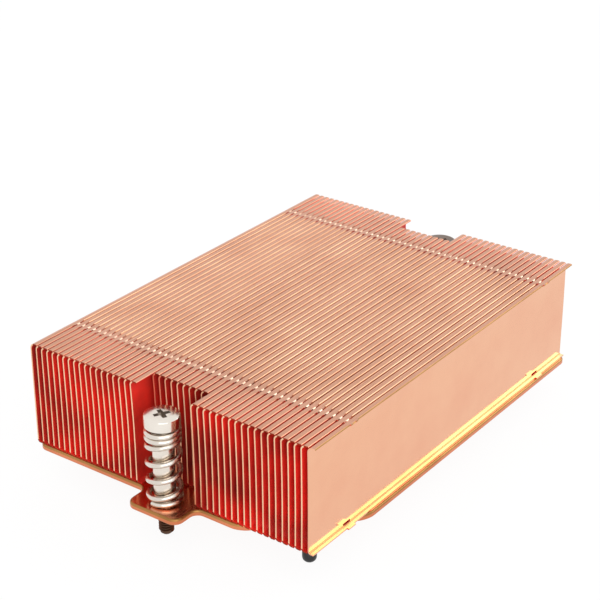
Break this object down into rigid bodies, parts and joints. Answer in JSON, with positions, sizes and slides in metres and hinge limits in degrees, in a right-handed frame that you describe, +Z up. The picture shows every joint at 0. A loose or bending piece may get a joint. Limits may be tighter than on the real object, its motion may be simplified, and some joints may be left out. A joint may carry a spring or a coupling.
{
  "type": "passive server processor heatsink",
  "caption": "Low copper heatsink of folded fins locked side by side on a base plate, with a spring-loaded captive screw in an ear at each end.",
  "frame": {"origin": "middle of the base plate's underside, halfway between the two captive screws", "axes": "+Y along the fins from the front ear (the end with the cut-away corner) to the rear ear, +Z up away from the processor, +X across the fins, so that the cut-away corner is at +X -Y"},
  "size_m": [0.0735, 0.1144, 0.0317],
  "materials": {
    "copper_fins": "bright rolled copper strip, lightly tarnished",
    "copper_plate": "bright copper plate",
    "nickel_steel": "nickel-plated steel",
    "spring_steel": "nickel-plated spring wire",
    "ring_steel": "plain spring steel",
    "black_rubber": "matt"
  },
  "bodies": {
    "heatsink": {"fin_01": "copper_fins", "fin_02": "copper_fins", "fin_03": "copper_fins", "fin_04": "copper_fins", "fin_05": "copper_fins", "fin_06": "copper_fins", "fin_07": "copper_fins", "fin_08": "copper_fins", "fin_09": "copper_fins", "fin_10": "copper_fins", "fin_11": "copper_fins", "fin_12": "copper_fins", "fin_13": "copper_fins", "fin_14": "copper_fins", "fin_15": "copper_fins", "fin_16": "copper_fins", "fin_17": "copper_fins", "fin_18": "copper_fins", "fin_19": "copper_fins", "fin_20": "copper_fins", "fin_21": "copper_fins", "fin_22": "copper_fins", "fin_23": "copper_fins", "fin_24": "copper_fins", "fin_25": "copper_fins", "fin_26": "copper_fins", "fin_27": "copper_fins", "fin_28": "copper_fins", "fin_29": "copper_fins", "fin_30": "copper_fins", "fin_31": "copper_fins", "fin_32": "copper_fins", "fin_33": "copper_fins", "fin_34": "copper_fins", "fin_35": "copper_fins", "fin_36": "copper_fins", "fin_37": "copper_fins", "fin_38": "copper_fins", "fin_39": "copper_fins", "fin_40": "copper_fins", "fin_41": "copper_fins", "fin_42": "copper_fins", "fin_43": "copper_fins", "fin_44": "copper_fins", "fin_45": "copper_fins", "fin_46": "copper_fins", "fin_47": "copper_fins", "base_plate": "copper_plate", "corner_bumper": "black_rubber", "front_spring": "spring_steel", "rear_spring": "spring_steel"},
    "front_ring": {"front_retaining_ring": "ring_steel"},
    "front_screw_body": {"front_screw": "nickel_steel"},
    "rear_ring": {"rear_retaining_ring": "ring_steel"},
    "rear_screw_body": {"rear_screw": "nickel_steel"}
  },
  "joints": [
    {"name": "front_screw_press", "type": "slide", "parent": "heatsink", "child": "front_ring", "axis": [0, 0, 1], "range_m": [-0.009, 0], "stiffness_N_per_m": 26000, "deforming": ["front_spring"]},
    {"name": "front_screw_turn", "type": "hinge", "parent": "front_ring", "child": "front_screw_body", "pos_m": [0, -0.05207, 0], "axis": [0, 0, 1], "continuous": true},
    {"name": "rear_screw_press", "type": "slide", "parent": "heatsink", "child": "rear_ring", "axis": [0, 0, 1], "range_m": [-0.009, 0], "stiffness_N_per_m": 26000, "deforming": ["rear_spring"]},
    {"name": "rear_screw_turn", "type": "hinge", "parent": "rear_ring", "child": "rear_screw_body", "pos_m": [0, 0.05207, 0], "axis": [0, 0, 1], "continuous": true}
  ]
}
